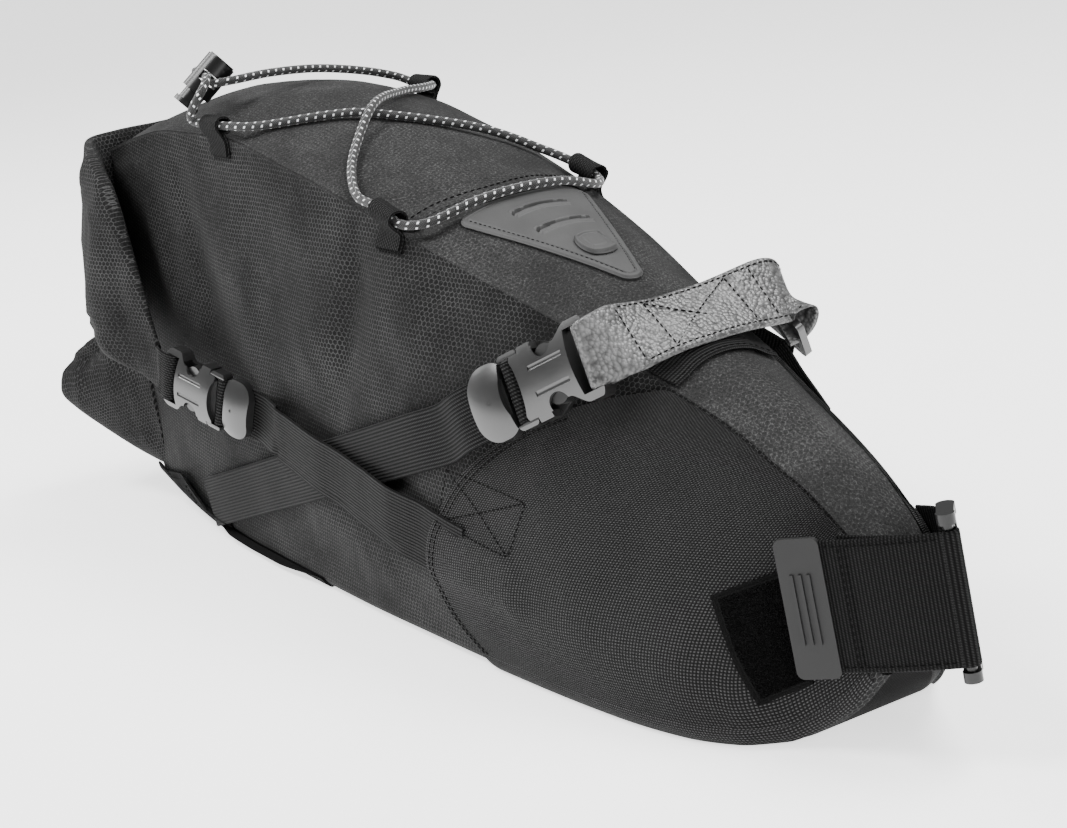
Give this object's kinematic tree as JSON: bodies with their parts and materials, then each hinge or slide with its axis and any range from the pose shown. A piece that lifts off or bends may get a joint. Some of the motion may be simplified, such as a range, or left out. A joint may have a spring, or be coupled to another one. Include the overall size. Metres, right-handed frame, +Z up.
{
  "type": "saddle bag",
  "caption": "Stuffed roll-top seat pack with side compression straps, a strap over the saddle rails, a seatpost strap and a laced bungee on top.",
  "frame": {"origin": "on the flat base, on the centre line, about midway along the stuffed bag", "axes": "+X forward to the seatpost end, +Y to the bag's left, +Z up"},
  "size_m": [0.6143, 0.1794, 0.2413],
  "materials": {
    "shell_fabric": "hexagon ripstop, matte",
    "cover_fabric": "coarse plain weave, matte",
    "liner": "coated nylon, satin",
    "webbing": "ribbed webbing, matte",
    "strap_leather": "pebbled synthetic leather, satin",
    "rubber": "moulded rubber, matte",
    "plastic": "moulded acetal, satin",
    "hook": "hook and loop, matte",
    "cord": "braided shock cord with reflective tracers"
  },
  "bodies": {
    "bag": {"top_panel": "shell_fabric", "rear_top_panel": "shell_fabric", "side_panel_right": "shell_fabric", "side_panel_left": "shell_fabric", "bottom_panel": "cover_fabric", "rear_bottom_panel": "cover_fabric", "rear_panel": "shell_fabric", "front_gusset": "cover_fabric", "liner": "liner", "nose_cover_right": "cover_fabric", "nose_cover_left": "cover_fabric", "rear_gusset": "shell_fabric", "roll_closure": "shell_fabric", "support_flap_right": "cover_fabric", "support_flap_left": "cover_fabric", "rubber_patch": "rubber", "patch_badge": "rubber", "support_strap_right": "webbing", "support_strap_left": "webbing", "compression_strap_lower_right": "webbing", "compression_strap_lower_left": "webbing", "compression_strap_upper_right": "webbing", "compression_strap_upper_left": "webbing", "rail_strap": "strap_leather", "rail_strap_loop": "strap_leather", "rail_anchor_webbing": "webbing", "rail_ladder_lock": "plastic", "rail_buckle_female": "plastic", "roll_buckle_male_right": "plastic", "roll_buckle_male_left": "plastic", "roll_webbing_right": "webbing", "roll_webbing_left": "webbing", "seatpost_inner_strap": "webbing", "seatpost_anchor_webbing": "webbing", "seatpost_ring": "plastic", "hook_patch": "hook", "cord_loops": "webbing", "bungee_cord": "cord", "cord_lock_body": "plastic"},
    "rail_male": {"rail_buckle_male": "plastic", "rail_buckle_webbing": "webbing"},
    "rail_prong_upper": {"rail_buckle_prong_upper": "plastic"},
    "rail_prong_lower": {"rail_buckle_prong_lower": "plastic"},
    "roll_female_right": {"roll_buckle_female_right": "plastic", "roll_tongue_right": "shell_fabric"},
    "roll_female_left": {"roll_buckle_female_left": "plastic", "roll_tongue_left": "shell_fabric"},
    "roll_prong_ur": {"roll_prong_upper_right": "plastic"},
    "roll_prong_lr": {"roll_prong_lower_right": "plastic"},
    "roll_prong_ul": {"roll_prong_upper_left": "plastic"},
    "roll_prong_ll": {"roll_prong_lower_left": "plastic"},
    "lock_plunger": {"cord_lock_plunger": "plastic"},
    "strap_tail": {"seatpost_strap": "webbing", "pull_tab": "rubber"}
  },
  "joints": [
    {"name": "rail_buckle_release", "type": "slide", "parent": "bag", "child": "rail_male", "axis": [-0.8165, -0.4, -0.4163], "range_m": [0, 0.025]},
    {"name": "rail_prong_upper_pinch", "type": "hinge", "parent": "rail_male", "child": "rail_prong_upper", "pos_m": [0.0908, -0.05685, 0.13168], "axis": [0.3356, -0.9156, 0.2215], "range_deg": [-6, 0], "stiffness_Nm_per_rad": 0.02},
    {"name": "rail_prong_lower_pinch", "type": "hinge", "parent": "rail_male", "child": "rail_prong_lower", "pos_m": [0.09925, -0.05759, 0.1158], "axis": [0.3356, -0.9156, 0.2215], "range_deg": [0, 6], "stiffness_Nm_per_rad": 0.02},
    {"name": "roll_buckle_release_right", "type": "slide", "parent": "bag", "child": "roll_female_right", "axis": [-0.9363, -0.23, 0.2656], "range_m": [0, 0.024]},
    {"name": "roll_prong_upper_pinch_right", "type": "hinge", "parent": "bag", "child": "roll_prong_ur", "pos_m": [-0.14928, -0.07644, 0.09186], "axis": [0.2543, -0.9652, 0.0605], "range_deg": [0, 6], "stiffness_Nm_per_rad": 0.02},
    {"name": "roll_prong_lower_pinch_right", "type": "hinge", "parent": "bag", "child": "roll_prong_lr", "pos_m": [-0.1533, -0.07849, 0.07592], "axis": [0.2543, -0.9652, 0.0605], "range_deg": [-6, 0], "stiffness_Nm_per_rad": 0.02},
    {"name": "roll_buckle_release_left", "type": "slide", "parent": "bag", "child": "roll_female_left", "axis": [-0.9363, 0.23, 0.2656], "range_m": [0, 0.024]},
    {"name": "roll_prong_upper_pinch_left", "type": "hinge", "parent": "bag", "child": "roll_prong_ul", "pos_m": [-0.14928, 0.07644, 0.09186], "axis": [-0.2543, -0.9652, -0.0605], "range_deg": [0, 6], "stiffness_Nm_per_rad": 0.02},
    {"name": "roll_prong_lower_pinch_left", "type": "hinge", "parent": "bag", "child": "roll_prong_ll", "pos_m": [-0.1533, 0.07849, 0.07592], "axis": [-0.2543, -0.9652, -0.0605], "range_deg": [-6, 0], "stiffness_Nm_per_rad": 0.02},
    {"name": "cord_lock_press", "type": "slide", "parent": "bag", "child": "lock_plunger", "axis": [0.2409, 0.7116, 0.66], "range_m": [0, 0.005], "stiffness_N_per_m": 250},
    {"name": "seatpost_strap_peel", "type": "hinge", "parent": "bag", "child": "strap_tail", "pos_m": [0.267, -0.002, 0.062], "axis": [-0.0902, -0.0527, 0.9945], "range_deg": [0, 50]}
  ],
  "couplings": [
    {"joint": "rail_prong_lower_pinch", "follows": "rail_prong_upper_pinch", "ratio": -1},
    {"joint": "roll_prong_lower_pinch_right", "follows": "roll_prong_upper_pinch_right", "ratio": -1},
    {"joint": "roll_prong_lower_pinch_left", "follows": "roll_prong_upper_pinch_left", "ratio": -1}
  ]
}
